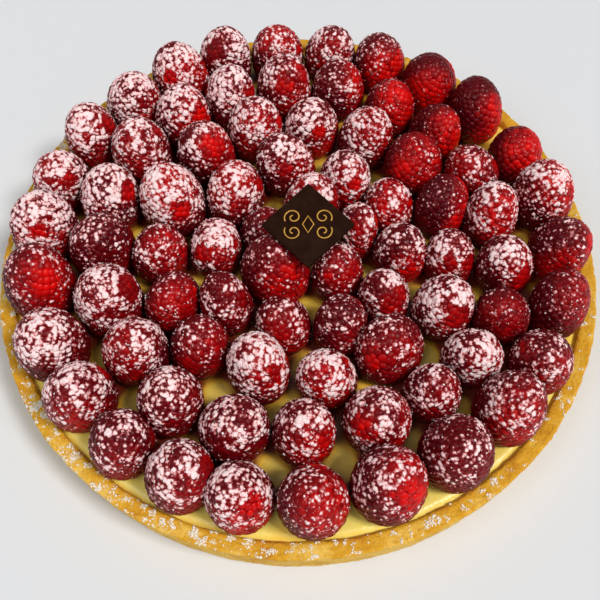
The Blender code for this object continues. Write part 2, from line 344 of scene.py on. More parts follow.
class Graph:
    """A hand for building a shader node tree."""

    def __init__(self, tree: bpy.types.NodeTree) -> None:
        """Take a tree and empty it."""
        self.tree = tree
        tree.nodes.clear()

    def node(self, kind: str, **settings: object) -> bpy.types.Node:
        """Add a node.

        Args:
            kind: Its type.
            settings: Its properties.

        Returns:
            The node.
        """
        made = self.tree.nodes.new(kind)
        for name, value in settings.items():
            setattr(made, name, value)
        return made

    def feed(self, target: Socket, value: object) -> None:
        """Give an input what it needs.

        Args:
            target: The input.
            value: A socket to link, or the input's own value.
        """
        if isinstance(value, Socket):
            self.tree.links.new(value, target)
        elif isinstance(value, tuple) and len(value) == 3 and target.type == "RGBA":
            target.default_value = (*value, 1)
        else:
            target.default_value = value

    def fill(self, node: bpy.types.Node, **values: object) -> bpy.types.Node:
        """Feed a node's inputs.

        Args:
            node: The node.
            values: What each input gets; _ in a name stands for a space.

        Returns:
            The node.
        """
        for name, value in values.items():
            self.feed(node.inputs[name.replace("_", " ")], value)
        return node

    def math(self, operation: str, a: object, b: object = 0.0, c: object = 0.0) -> Socket:
        """Add a Math node.

        Args:
            operation: What it works out.
            a: Its first value.
            b: Its second value.
            c: Its third value.

        Returns:
            The result.
        """
        made = self.node("ShaderNodeMath", operation=operation)
        for target, value in zip(made.inputs, (a, b, c)):
            self.feed(target, value)
        return made.outputs[0]

    def multiply_add(self, value: object, factor: object, offset: object) -> Socket:
        """Return value times factor plus offset."""
        return self.math("MULTIPLY_ADD", value, factor, offset)

    def ramp(self, value: object, low: object, high: object, start: object = 0.0,
             end: object = 1.0) -> Socket:
        """Map a value to another range, with soft ends.

        Args:
            value: The value.
            low: Where its own range starts.
            high: Where its own range ends.
            start: What it gives at low and below.
            end: What it gives at high and above.

        Returns:
            The mapped value.
        """
        made = self.node("ShaderNodeMapRange", interpolation_type="SMOOTHSTEP")
        self.fill(made, Value=value, From_Min=low, From_Max=high, To_Min=start, To_Max=end)
        return made.outputs["Result"]

    def mix(self, share: object, a: object, b: object) -> Socket:
        """Mix two colours.

        Args:
            share: How much of the second, 0 to 1.
            a: The first colour.
            b: The second colour.

        Returns:
            The mixed colour.
        """
        made = self.node("ShaderNodeMix", data_type="RGBA")
        self.feed(made.inputs[0], share)
        self.feed(made.inputs[6], a)
        self.feed(made.inputs[7], b)
        return made.outputs[2]

    def noise(self, scale: float, detail: float = 2.0, distortion: float = 0.0,
              roughness: float = 0.5, offset: float = 0.0) -> Socket:
        """Add noise on Object coordinates.

        Args:
            scale: How many lumps a metre holds.
            detail: How many finer layers it has.
            distortion: How twisted it is.
            roughness: How strong the finer layers are.
            offset: How far the pattern is moved, along X, Y and Z alike.

        Returns:
            The noise, from 0 to 1.
        """
        place = self.node("ShaderNodeTexCoord").outputs["Object"]
        if offset:
            moved = self.node("ShaderNodeMapping")
            self.fill(moved, Vector=place, Location=(offset, offset, offset))
            place = moved.outputs["Vector"]
        made = self.node("ShaderNodeTexNoise")
        self.fill(made, Vector=place, Scale=scale, Detail=detail, Distortion=distortion,
                  Roughness=roughness)
        return made.outputs["Fac"]

    def cells(self, scale: float) -> Socket:
        """Add the distance from the nearest of scattered middles.

        Args:
            scale: About how many of them a metre holds.

        Returns:
            The distance, over the middles' own.
        """
        place = self.node("ShaderNodeTexCoord").outputs["Object"]
        made = self.fill(self.node("ShaderNodeTexVoronoi"), Vector=place, Scale=scale)
        return made.outputs["Distance"]

    def attribute(self, name: str) -> Socket:
        """Read a value that the mesh holds for each point."""
        return self.node("ShaderNodeAttribute", attribute_name=name).outputs["Fac"]

    def group(self, tree: bpy.types.NodeTree, **values: object) -> bpy.types.Node:
        """Place a node group and feed its inputs."""
        return self.fill(self.node("ShaderNodeGroup", node_tree=tree), **values)


def new_group(name: str, inputs: dict[str, tuple[str, object]],
              outputs: dict[str, str]) -> bpy.types.NodeTree:
    """Make a shader node group with its sockets.

    Args:
        name: The group's name.
        inputs: For each input its socket type and its default.
        outputs: For each output its socket type.

    Returns:
        The group's tree, without nodes.
    """
    tree = bpy.data.node_groups.new(name, "ShaderNodeTree")
    for label, (kind, default) in inputs.items():
        socket = tree.interface.new_socket(label, in_out="INPUT", socket_type=kind)
        socket.default_value = default
    for label, kind in outputs.items():
        tree.interface.new_socket(label, in_out="OUTPUT", socket_type=kind)
    return tree


def sugar_dust_group() -> bpy.types.NodeTree:
    """Return the group that lays a mottled film of icing sugar over a finish.

    Returns:
        A group with Color, Roughness and Height outputs.
    """
    existing = bpy.data.node_groups.get("sugar_dust")
    if existing:
        return existing
    tree = new_group(
        "sugar_dust",
        {
            "Color": ("NodeSocketColor", (0.5, 0.5, 0.5, 1)),
            "Roughness": ("NodeSocketFloat", 0.4),
            "Cover": ("NodeSocketFloat", 0.5),
            "Crown": ("NodeSocketFloat", 0.5),
            "Softness": ("NodeSocketFloat", 0.34),
            "Thin": ("NodeSocketColor", (0.6, 0.3, 0.35, 1)),
            "Thick": ("NodeSocketColor", (0.9, 0.88, 0.88, 1)),
        },
        {"Color": "NodeSocketColor", "Roughness": "NodeSocketFloat", "Height": "NodeSocketFloat"},
    )
    graph = Graph(tree)
    source = graph.node("NodeGroupInput").outputs
    clumps = graph.noise(430, detail=3.0, distortion=0.5, roughness=0.6)
    specks = graph.noise(1300, detail=1.0, offset=0.31)
    grains = graph.multiply_add(graph.cells(580), -1.15, 0.82)
    pattern = graph.multiply_add(clumps, 1.45, graph.multiply_add(specks, 0.4, -0.85))
    pattern = graph.math("ADD", grains, pattern)
    pattern = graph.multiply_add(source["Crown"], 0.08, pattern)
    present = graph.ramp(source["Cover"], 0.02, 0.12)
    soft = source["Softness"]
    thin_from = graph.multiply_add(source["Cover"], -1.0, 0.86)
    thick_from = graph.multiply_add(soft, 0.4, thin_from)
    thin, thick = (
        graph.math("MULTIPLY", graph.ramp(pattern, low, graph.math("ADD", low, soft)), present)
        for low in (thin_from, thick_from)
    )
    sink = graph.node("NodeGroupOutput").inputs
    color = graph.mix(graph.math("MULTIPLY", thin, 0.75), source["Color"], source["Thin"])
    graph.feed(sink["Color"], graph.mix(thick, color, source["Thick"]))
    rougher = graph.math("SUBTRACT", SUGAR_ROUGHNESS, source["Roughness"])
    graph.feed(sink["Roughness"], graph.multiply_add(thin, rougher, source["Roughness"]))
    graph.feed(sink["Height"], graph.multiply_add(thin, 0.35, graph.math("MULTIPLY", thick, 0.65)))
    return tree


@dataclass(frozen=True)
class Finish:
    """What every finish states: its name and its plain roughness."""

    name: str
    roughness: float

    def start(self) -> tuple[bpy.types.Material, Graph, bpy.types.Node]:
        """Make the material.

        Returns:
            The material, its graph and its Principled shader.
        """
        material = bpy.data.materials.new(self.name)
        material.use_nodes = True
        graph = Graph(material.node_tree)
        shader = graph.node("ShaderNodeBsdfPrincipled")
        output = graph.node("ShaderNodeOutputMaterial")
        graph.feed(output.inputs["Surface"], shader.outputs["BSDF"])
        shader.inputs["Roughness"].default_value = self.roughness
        return material, graph, shader

    @staticmethod
    def bump(graph: Graph, shader: bpy.types.Node, height: Socket, distance: float) -> None:
        """Give the shader relief from a height between 0 and 1, distance metres high."""
        made = graph.fill(graph.node("ShaderNodeBump"), Strength=1.0, Distance=distance, Height=height)
        graph.fill(shader, Normal=made.outputs["Normal"])


@dataclass(frozen=True)
class DustedFinish(Finish):
    """A finish that a film of icing sugar may hide; the mesh gives its cover."""

    thin_sugar: Color
    thick_sugar: Color
    softness: float = 0.34         # how gradually the film grows thick

    def dust(self, graph: Graph, shader: bpy.types.Node, color: Socket, crown: Socket,
             thick: object = None) -> Socket:
        """Lay the film over a colour.

        Args:
            graph: The material's graph.
            shader: Takes the colour and the roughness.
            color: The colour below the film.
            crown: Where a little more sugar lies.
            thick: The thick film's colour, where it isn't thick_sugar.

        Returns:
            The film's height, from 0 to 1.
        """
        made = graph.group(sugar_dust_group(), Color=color, Roughness=self.roughness,
                           Cover=graph.attribute("cover"), Crown=crown, Softness=self.softness,
                           Thin=self.thin_sugar, Thick=self.thick_sugar if thick is None else thick)
        graph.fill(shader, Base_Color=made.outputs["Color"], Roughness=made.outputs["Roughness"])
        return made.outputs["Height"]


@dataclass(frozen=True)
class FruitFinish(DustedFinish):
    """Moist raspberry skin under a film of icing sugar, with painted shade towards its foot and in its
    grooves, and painted light where it glows.
    """

    name: str = "raspberry_skin"
    roughness: float = 0.36
    thin_sugar: Color = (0.98, 0.27, 0.275)
    thick_sugar: Color = (0.985, 0.76, 0.75)
    # Sugar low in the grooves: pinker, partly as moist sugar and partly as painted shade.
    moist_and_shaded_sugar: Color = (0.985, 0.50, 0.49)
    # deep is near black: painted shade in the grooves between drupelets and at the foot.
    deep: Color = (0.13, 0.001, 0.004)
    # dark and flesh: the skin from its foot, darkened as painted shade, up to its tip.
    dark: Color = (0.070, 0.0, 0.003)
    flesh: Color = (0.110, 0.0, 0.002)
    # bright is painted light: skin that is lit and glowing.
    bright: Color = (0.70, 0.002, 0.001)
    # The grooves' colour where the skin is painted lit.
    lit_groove: Color = (0.42, 0.001, 0.002)

    def material(self) -> bpy.types.Material:
        """Make the material.

        Returns:
            The material, for a mesh that gives cover, glow, crown and tone_and_shade.
        """
        material, graph, shader = self.start()
        crown, glow = graph.attribute("crown"), graph.attribute("glow")
        mottle = graph.multiply_add(graph.noise(90), 0.4, -0.2)
        tone_and_shade = graph.math("ADD", graph.attribute("tone_and_shade"), mottle)
        # Painted shade: the skin grows darker from the tip down to the foot.
        skin = graph.mix(graph.ramp(tone_and_shade, 0.0, 0.45), self.deep, self.dark)
        skin = graph.mix(graph.ramp(tone_and_shade, 0.35, 1.0), skin, self.flesh)
        # Painted light: where glow is high, the skin is painted bright as lit, glowing flesh.
        skin = graph.mix(glow, skin, self.bright)
        # Painted shade: the grooves between drupelets go near black, lighter where the skin is painted
        # lit.
        gap = graph.mix(glow, self.deep, self.lit_groove)
        skin = graph.mix(graph.ramp(crown, -0.7, 0.30), gap, skin)
        # Sugar in the grooves is pinker: partly moist, partly painted shade.
        sugar = graph.mix(graph.ramp(crown, -0.6, 0.5), self.moist_and_shaded_sugar, self.thick_sugar)
        film = self.dust(graph, shader, skin, crown, sugar)
        graph.fill(shader, Specular_IOR_Level=0.17)
        self.bump(graph, shader, film, 0.25 * MM)
        return material


@dataclass(frozen=True)
class SugarFinish(Finish):
    """Clumps of icing sugar, a little pink where the berries' juices have soaked in."""

    name: str = "icing_sugar"
    roughness: float = 0.9
    dry: Color = (0.94, 0.86, 0.85)
    soaked: Color = (0.90, 0.40, 0.42)

    def material(self) -> bpy.types.Material:
        """Make the material.

        Returns:
            The material, for a mesh that gives how soaked each clump is.
        """
        material, graph, shader = self.start()
        soak = graph.math("MULTIPLY", graph.attribute("soak"), graph.ramp(graph.noise(900), 0.3, 0.7))
        graph.fill(shader, Base_Color=graph.mix(soak, self.dry, self.soaked))
        self.bump(graph, shader, graph.noise(5200, detail=2), 0.06 * MM)
        return material


@dataclass(frozen=True)
class PastryFinish(DustedFinish):
    """Baked sweet pastry: golden, with browner patches, crumbs, a film of sugar and painted shade along
    the rim's inner edge.
    """

    name: str = "baked_pastry"
    roughness: float = 0.72
    thin_sugar: Color = (0.82, 0.56, 0.20)
    thick_sugar: Color = (0.93, 0.84, 0.64)
    softness: float = 0.85
    pale: Color = (0.95, 0.59, 0.10)
    golden: Color = (0.76, 0.37, 0.014)
    brown: Color = (0.56, 0.20, 0.008)

    def material(self) -> bpy.types.Material:
        """Make the material.

        Returns:
            The material, for a mesh that gives bake and cover.
        """
        material, graph, shader = self.start()
        patches = graph.noise(150, detail=4, roughness=0.62)
        crumbs = graph.noise(900, detail=3, roughness=0.65)
        sand = graph.noise(2600, detail=2, offset=0.17)
        bake = graph.multiply_add(patches, 0.8, graph.multiply_add(crumbs, 0.6, -0.70))
        bake = graph.math("ADD", bake, graph.attribute("bake"))
        color = graph.mix(graph.ramp(bake, 0.0, 0.42), self.pale, self.golden)
        color = graph.mix(graph.ramp(bake, 0.38, 0.85), color, self.brown)
        film = self.dust(graph, shader, color, crumbs)
        graph.fill(shader, Specular_IOR_Level=0.3)
        crust = graph.multiply_add(crumbs, 0.7, graph.math("MULTIPLY", sand, 0.25))
        self.bump(graph, shader, graph.multiply_add(film, 0.25, crust), 1.1 * MM)
        return material


@dataclass(frozen=True)
class CustardFinish(DustedFinish):
    """Pale yellow custard with a satin skin, darker where the berries' juices have run, with painted
    shade and painted reflected light between the berries.
    """

    name: str = "custard_skin"
    roughness: float = 0.36
    thin_sugar: Color = (0.88, 0.76, 0.42)
    thick_sugar: Color = (0.92, 0.86, 0.68)
    cream: Color = (0.98, 0.76, 0.15)
    shade: Color = (0.97, 0.64, 0.08)
    # amber is painted reflected light: the custard turns warmer near the red berries.
    amber: Color = (0.91, 0.49, 0.045)
    # The darkest custard: partly a stain from the berries, partly painted shade between close berries.
    juice: Color = (0.20, 0.018, 0.004)

    def material(self) -> bpy.types.Material:
        """Make the material.

        Returns:
            The material, for a mesh that gives cover and juice.
        """
        material, graph, shader = self.start()
        clouds = graph.noise(60, detail=3)
        skin = graph.noise(420, detail=2)
        color = graph.mix(graph.ramp(clouds, 0.35, 0.75), self.cream, self.shade)
        juice = graph.attribute("juice")
        # Painted reflected light and painted shade, partly a stain from the berries: warmer, then dark
        # red-brown, where berries stand close.
        color = graph.mix(graph.ramp(juice, 0.0, 0.5), color, self.amber)
        color = graph.mix(graph.ramp(juice, 0.4, 1.0), color, self.juice)
        self.dust(graph, shader, color, skin)
        graph.fill(shader, Coat_Weight=0.1, Coat_Roughness=0.3)
        self.bump(graph, shader, skin, 0.25 * MM)
        return material


@dataclass(frozen=True)
class ChocolateFinish(Finish):
    """Thin tempered dark chocolate, nearly black."""

    name: str = "dark_chocolate"
    roughness: float = 0.55
    body: Color = (0.016, 0.005, 0.002)
    bloom: Color = (0.023, 0.009, 0.004)

    def material(self) -> bpy.types.Material:
        """Make the material.

        Returns:
            The material.
        """
        material, graph, shader = self.start()
        haze = graph.noise(220, detail=4)
        graph.fill(shader, Base_Color=graph.mix(graph.ramp(haze, 0.35, 0.75), self.body, self.bloom),
                   Roughness=graph.ramp(haze, 0.3, 0.8, 0.50, 0.66), Specular_IOR_Level=0.04)
        self.bump(graph, shader, graph.noise(1500, detail=2), 0.04 * MM)
        return material


@dataclass(frozen=True)
class GoldFinish(Finish):
    """Printed food gold, with small breaks."""

    name: str = "food_gold"
    roughness: float = 0.45
    gold: Color = (0.80, 0.42, 0.07)
    worn: Color = (0.42, 0.19, 0.03)

    def material(self) -> bpy.types.Material:
        """Make the material.

        Returns:
            The material.
        """
        material, graph, shader = self.start()
        wear = graph.ramp(graph.noise(1800, detail=3), 0.42, 0.7)
        graph.fill(shader, Base_Color=graph.mix(wear, self.gold, self.worn),
                   Roughness=graph.ramp(wear, 0.0, 1.0, 0.38, 0.6), Metallic=0.35)
        return material


# ---------------------------------------------------------------- raspberries


@dataclass(frozen=True)
class Spot:
    """A round place on the tart, in metres, strongest in its middle."""

    x: float
    y: float
    reach: float
    amount: float = 1.0

    def at(self, place: np.ndarray) -> float:
        """Return the amount at a place; it falls to 0 well past the reach."""
        return self.amount * math.exp(-(math.dist(place[:2], (self.x, self.y)) / self.reach) ** 2)


MORE_SUGAR = (Spot(-0.085, 0.085, 0.055, 0.34), Spot(0.060, -0.045, 0.035, 0.10),
              Spot(-0.008, -0.070, 0.024, 0.28), Spot(-0.055, -0.090, 0.032, 0.14))
LESS_SUGAR = (Spot(-0.022, -0.026, 0.032, 0.30), Spot(0.030, -0.100, 0.022, 0.40),
              Spot(-0.095, -0.035, 0.030, 0.14))
NEARLY_BARE = (Spot(0.085, 0.085, 0.060), Spot(0.110, -0.010, 0.032, 0.7))


@dataclass(frozen=True)
class Chances:
    """What a raspberry may draw: its sugar, its colour, its painted light and its bare patches."""

    level: float = 0.71            # how much sugar lies on a usual berry
    level_spread: float = 0.15
    level_limits: tuple[float, float] = (0.14, 1.05)
    less_to_right: float = 0.25    # for each metre along X
    less_where_bare: float = 0.62
    ripeness_spread: float = 0.12
    vivid: float = 0.64
    vivid_spread: float = 0.26
    vivid_least: float = 0.15
    vivid_where_bare: float = 0.5
    # The lit side: where the skin is painted brighter, as lit glowing flesh.
    lit_where_bare: float = 0.45
    lit_side: tuple[float, float, float] = (0.45, -0.60, 0.35)
    lit_side_spread: float = 0.3
    patch_counts: tuple[int, ...] = (1, 1, 1, 2)
    patch_side: float = -50        # degrees round Z
    patch_spread: float = 65
    patch_rise: tuple[float, float] = (0.10, 0.95)     # radians, up from level
    patch_reach: tuple[float, float] = (0.16, 0.42)    # radians, from its middle to its edge
    reach_where_bare: float = 0.2


@dataclass
class Raspberry:
    """One raspberry, read from the solid that it stands for."""

    foot: np.ndarray               # the middle of its flat foot
    width: float
    height: float
    lean: np.ndarray               # how far its tip is off centre, along X and Y
    oval: tuple[float, float]      # how much longer than round it is, along X and along X = Y
    rng: np.random.Generator
    level: float = 0.0             # how much sugar lies on it, 0 to 1
    ripeness: float = 0.0          # makes it brighter or darker than the others
    vivid: float = 0.0             # how strongly its bare patches and lit side are painted bright, 0 to 1
    # The side whose skin is painted brighter, as if lit.
    lit_side: np.ndarray = field(default_factory=lambda: np.array([0, 0, 1.0]))
    patches: np.ndarray = field(default_factory=lambda: np.empty((0, 4)))
    domes: tuple[np.ndarray, np.ndarray, np.ndarray] | None = None    # places, frames, sizes
    load: np.ndarray | None = None     # how much sugar each drupelet took, 0 to 2
    pitch: float = 2.8 * MM        # between the middles of two drupelets
    widest: float = 0.27           # the height of its widest place, over its own
    foot_reach: float = 0.86       # the foot's radius over the berry's
    shoulder: float = 2.26         # how full it is above its widest place
    heart: float = 0.42            # the height that its patches are seen from, over its own
    lit_share: float = 0.50       # how bright the lit side is painted, over a bare patch
    packing: float = 0.87          # the area that a drupelet takes, over its pitch squared
    stray: float = 0.9             # how far drupelets stray along their spiral, in drupelets
    chances: Chances = Chances()

    def dust(self) -> None:
        """Choose how much sugar lies on the berry, where it stays bare and where its skin is painted
        bright as lit.
        """
        may, rng = self.chances, self.rng
        light = max(spot.at(self.foot) for spot in NEARLY_BARE)
        more = sum(spot.at(self.foot) for spot in MORE_SUGAR)
        less = may.less_where_bare * light + sum(spot.at(self.foot) for spot in LESS_SUGAR)
        level = may.level + more - less - may.less_to_right * self.foot[0]
        self.level = float(np.clip(level + rng.normal(0, may.level_spread), *may.level_limits))
        self.ripeness = rng.normal(0, may.ripeness_spread)
        vivid = rng.normal(may.vivid, may.vivid_spread) + may.vivid_where_bare * light
        self.vivid = float(np.clip(vivid, may.vivid_least, 1))
        self.lit_share += may.lit_where_bare * light
        self.lit_side = unit(np.array(may.lit_side) + rng.normal(0, may.lit_side_spread, 3))
        count = int(rng.choice(may.patch_counts))
        azimuth = rng.normal(math.radians(may.patch_side), math.radians(may.patch_spread), count)
        rise = rng.uniform(*may.patch_rise, count)
        reach = rng.uniform(*may.patch_reach, count) + may.reach_where_bare * light
        self.patches = np.column_stack([around(azimuth, np.cos(rise), np.sin(rise)), reach])

    def half_width(self, t: np.ndarray) -> np.ndarray:
        """Return the radius at some heights.

        Args:
            t: Heights, from 0 at the foot to 1 at the tip.

        Returns:
            A radius for each.
        """
        below = 1 - (1 - self.foot_reach) * ((self.widest - t) / self.widest) ** 2
        over = np.clip((t - self.widest) / (1 - self.widest), 0, 1)
        above = np.sqrt(np.clip(1 - over ** self.shoulder, 0, 1))
        return self.width / 2 * np.where(t < self.widest, below, above)

    def surface(self, t: np.ndarray, angle: np.ndarray) -> tuple[np.ndarray, np.ndarray]:
        """Find places on the berry's outline.

        Args:
            t: Heights from 0 to 1.
            angle: Angles round the berry in radians.

        Returns:
            The points and the outward normals.
        """
        oval = 1 + self.oval[0] * np.cos(2 * angle) + self.oval[1] * np.sin(2 * angle)
        radius = self.half_width(t) * oval
        step = 0.004
        slope = self.half_width(np.clip(t + step, 0, 1)) - self.half_width(np.clip(t - step, 0, 1))
        slope = slope / (2 * step * self.height)
        points = around(angle, radius, t * self.height)
        points[:, :2] += self.lean * (t**2)[:, None]
        normals = unit(around(angle, 1, -slope))
        return points + self.foot, normals

    def drupelet_spots(self) -> tuple[np.ndarray, np.ndarray]:
        """Spread the drupelets evenly over the outline, on a golden-angle spiral.

        Returns:
            The heights and the angles of their middles.
        """
        t = np.linspace(0, 1, 400)
        radius = self.half_width(t)
        length = np.hypot(np.diff(radius), np.diff(t * self.height))
        area = np.concatenate([[0], np.cumsum(length * math.tau * (radius[1:] + radius[:-1]) / 2)])
        count = round(area[-1] / (self.pitch**2 * self.packing))
        share = (np.arange(count) + 0.5 + self.rng.normal(0, self.stray, count)) / count
        heights = np.interp(np.clip(share, 0.01, 0.998) * area[-1], area, t)
        angles = np.arange(count) * GOLDEN_ANGLE + self.rng.uniform(0, math.tau)
        return heights, angles + self.rng.normal(0, 0.03, count)

    def away(self, points: np.ndarray) -> np.ndarray:
        """Return the directions of points from the berry's heart."""
        return unit(points - (self.foot + np.array([0, 0, self.heart * self.height])))

    def height_of(self, points: np.ndarray) -> np.ndarray:
        """Return the heights of points, from 0 at the foot to 1 at the tip."""
        return (points[:, 2] - self.foot[2]) / self.height

    def bareness(self, points: np.ndarray, soft: float) -> np.ndarray:
        """Find the berry's bare patches.

        Args:
            points: Places on the berry.
            soft: How wide the edges of the patches are, in radians.

        Returns:
            1 inside them and 0 outside, for each point.
        """
        away = self.away(points)
        wobble = 0.16 * perlin(points, 6 * MM, 3) + 0.10 * perlin(points, 2.5 * MM, 15)
        bare = np.zeros(len(points))
        for x, y, z, reach in self.patches:
            angle = np.arccos(np.clip(away @ np.array([x, y, z]), -1, 1)) + wobble
            bare = np.maximum(bare, 1 - smoothstep(reach - soft, reach + soft, angle))
        return bare

    def glow(self, points: np.ndarray) -> np.ndarray:
        """Return how bright the skin is painted, as lit glowing flesh: most in the bare patches, less on
        the lit side.
        """
        lit = self.lit_share * smoothstep(0.15, 1.0, self.away(points) @ self.lit_side)
        return self.vivid * np.maximum(self.bareness(points, 0.34), lit)

    def tone_and_shade(self, points: np.ndarray) -> np.ndarray:
        """Return the skin's tone, with painted shade: 0 at the foot, up to 1 at the tip, moved by the
        berry's ripeness.
        """
        return np.clip(0.05 + self.ripeness + 0.85 * smoothstep(0.15, 0.90, self.height_of(points)), 0, 1)

    def cover(self, points: np.ndarray, normals: np.ndarray) -> np.ndarray:
        """Return how much of the surface sugar hides.

        Args:
            points: Places on the berry.
            normals: The outward normals there.

        Returns:
            0 for none to 1 for all, for each point.
        """
        fallen = smoothstep(-0.45, 0.60, normals[:, 2]) * smoothstep(0.05, 0.60, self.height_of(points))
        drift = 1 + 0.85 * perlin(points, 6 * MM, 5)
        return np.clip(self.level * fallen * drift, 0, 0.9) * (1 - self.bareness(points, 0.06))


@dataclass
class Drupelets:
    """How the drupelets of every raspberry are shaped."""

    side: float = 0.69             # half the length of a drupelet, over the pitch
    narrow: float = 0.94           # its width over its length
    rise: float = 0.34             # its height from its middle, over the pitch
    stand_out: float = 0.05 * MM   # how far its tip is past the solid's outline
    out_spread: float = 0.07 * MM
    size_spread: float = 0.07
    load_spread: float = 0.12      # how unevenly sugar lies on them
    tone_spread: float = 0.16      # how unlike in colour they are
    tone_limits: tuple[float, float] = (-0.22, 0.45)
    core_depth: float = 0.45 * MM  # the core lies this far inside the outline
    crown_from: float = 0.5        # a drupelet shows from this height on, over its rise
    dome: Stamp = field(init=False)
    core: Stamp = field(init=False)

    def __post_init__(self) -> None:
        """Make the two shapes that each berry repeats."""
        self.dome = Stamp.ball(8, 6, cut_at=0.001)
        self.core = Stamp.ball(18, 12)

    def add_core(self, berry: Raspberry, batch: Batch) -> None:
        """Add the core that closes the gaps between the drupelets.

        Args:
            berry: The raspberry.
            batch: Where the core goes.
        """
        ball = self.core.points
        t = (ball[:, 2] + 1) / 2
        across, angle = polar(ball)
        points, normals = berry.surface(t, angle)
        inner = points - normals * self.core_depth
        on_axis = across < 0.001
        inner[on_axis, :2] = berry.foot[:2] + np.outer(t[on_axis] ** 2, berry.lean)
        inner[on_axis & (t > 0.5), 2] = berry.foot[2] + berry.height - self.core_depth
        inner[:, 2] = np.maximum(inner[:, 2], berry.foot[2])
        batch.add(inner, self.core.triangles, cover=0.9 * berry.cover(inner, normals),
                  glow=0.6 * berry.glow(inner), crown=0.0, tone_and_shade=berry.tone_and_shade(inner))

    def add_to(self, berry: Raspberry, batch: Batch) -> None:
        """Add a berry's drupelets and its core to a mesh.

        Args:
            berry: The raspberry.
            batch: Where its shapes and attributes go.
        """
        heights, angles = berry.drupelet_spots()
        tops, normals = berry.surface(heights, angles)
        count = len(tops)
        size = berry.pitch * (1 + berry.rng.normal(0, self.size_spread, count))
        rise = size * self.rise
        out = self.stand_out + berry.rng.normal(0, self.out_spread, count)
        centres = tops + normals * (out - rise)[:, None]
        scales = np.stack([size * self.side, size * self.side * self.narrow, rise], 1)
        frames = upright_frames(normals, berry.rng.uniform(0, math.tau, count))
        points, triangles = self.dome.at(centres, frames, scales)
        points[:, 2] = np.maximum(points[:, 2], berry.foot[2])
        berry.domes = (centres, frames, scales)
        berry.load = np.clip(1 + berry.rng.normal(0, self.load_spread, count), 0, 2)
        corners = len(self.dome.points)
        local = np.tile(self.dome.points, (count, 1))
        facing = unit(local / np.repeat(scales / scales[:, 2:3], corners, 0))
        directions = turned(np.repeat(frames, corners, 0), facing)
        tone = np.clip(berry.rng.normal(0, self.tone_spread, count), *self.tone_limits)
        own = np.repeat(tone, corners)
        cover = berry.cover(points, directions) * np.repeat(berry.load, corners)
        glow = berry.glow(points) * (1 + 2 * own)
        batch.add(points, triangles, cover=np.clip(cover, 0, 1), glow=np.clip(glow, 0, 1),
                  crown=(np.clip(local[:, 2], 0, 1) - self.crown_from) / (1 - self.crown_from),
                  tone_and_shade=np.clip(berry.tone_and_shade(points) + own, 0, 1))
        self.add_core(berry, batch)


@dataclass
class RaspberryCrown:
    """All raspberries of the tart, one piece for each CAD node."""

    drupelets: Drupelets = field(default_factory=Drupelets)
    foot_slack: float = 0.05 * MM
    tip_reach: float = 0.22        # the tip is sought this near its foot's middle, over its width
    berries: list[Raspberry] = field(default_factory=list)

    def read_node(self, name: str, seed: int) -> list[Raspberry]:
        """Read the raspberries that a node holds.

        Args:
            name: The node, one berry or a touching pair.
            seed: Seeds the berries' own chances.

        Returns:
            One or two raspberries.
        """
        points = node_points(name)
        feet = points[points[:, 2] < points[:, 2].min() + self.foot_slack]
        feet = np.unique(np.round(feet, 6), axis=0)
        flat = feet[:, :2] - feet[:, :2].mean(0)
        along = flat @ np.linalg.svd(flat, full_matrices=False)[2][0]
        count = 2 if name.startswith("berries_") else 1
        groups = np.array_split(feet[np.argsort(along)], count)
        return [self.read_berry(points, group, seed * 2 + i) for i, group in enumerate(groups)]

    def read_berry(self, points: np.ndarray, feet: np.ndarray, seed: int) -> Raspberry:
        """Read one raspberry.

        Args:
            points: The points of its node.
            feet: Those round its foot.
            seed: Seeds its own chances.

        Returns:
            The raspberry, dusted.
        """
        middle = feet.mean(0)
        reach, angle = polar(feet - middle)
        radius = reach.mean()
        oval = (2 * (reach * np.cos(2 * angle)).mean() / radius,
                2 * (reach * np.sin(2 * angle)).mean() / radius)
        width = 2 * radius / Raspberry.foot_reach
        near = points[polar(points - middle)[0] < self.tip_reach * width]
        tip = near[near[:, 2].argmax()]
        rng = np.random.default_rng(seed)
        berry = Raspberry(middle, width, tip[2] - middle[2], (tip - middle)[:2], oval, rng)
        berry.dust()
        return berry

    def build(self, material: bpy.types.Material) -> None:
        """Build every piece.

        Args:
            material: The skin of all of them.
        """
        names = sorted(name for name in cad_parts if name.startswith("berr"))
        for number, name in enumerate(names):
            batch = Batch()
            for berry in self.read_node(name, number):
                self.drupelets.add_to(berry, batch)
                self.berries.append(berry)
            piece = batch.to_object("rasp" + name, smooth=True)
            finish_piece(piece, material, Slot.FRUIT, name)


# ---------------------------------------------------------------- icing sugar


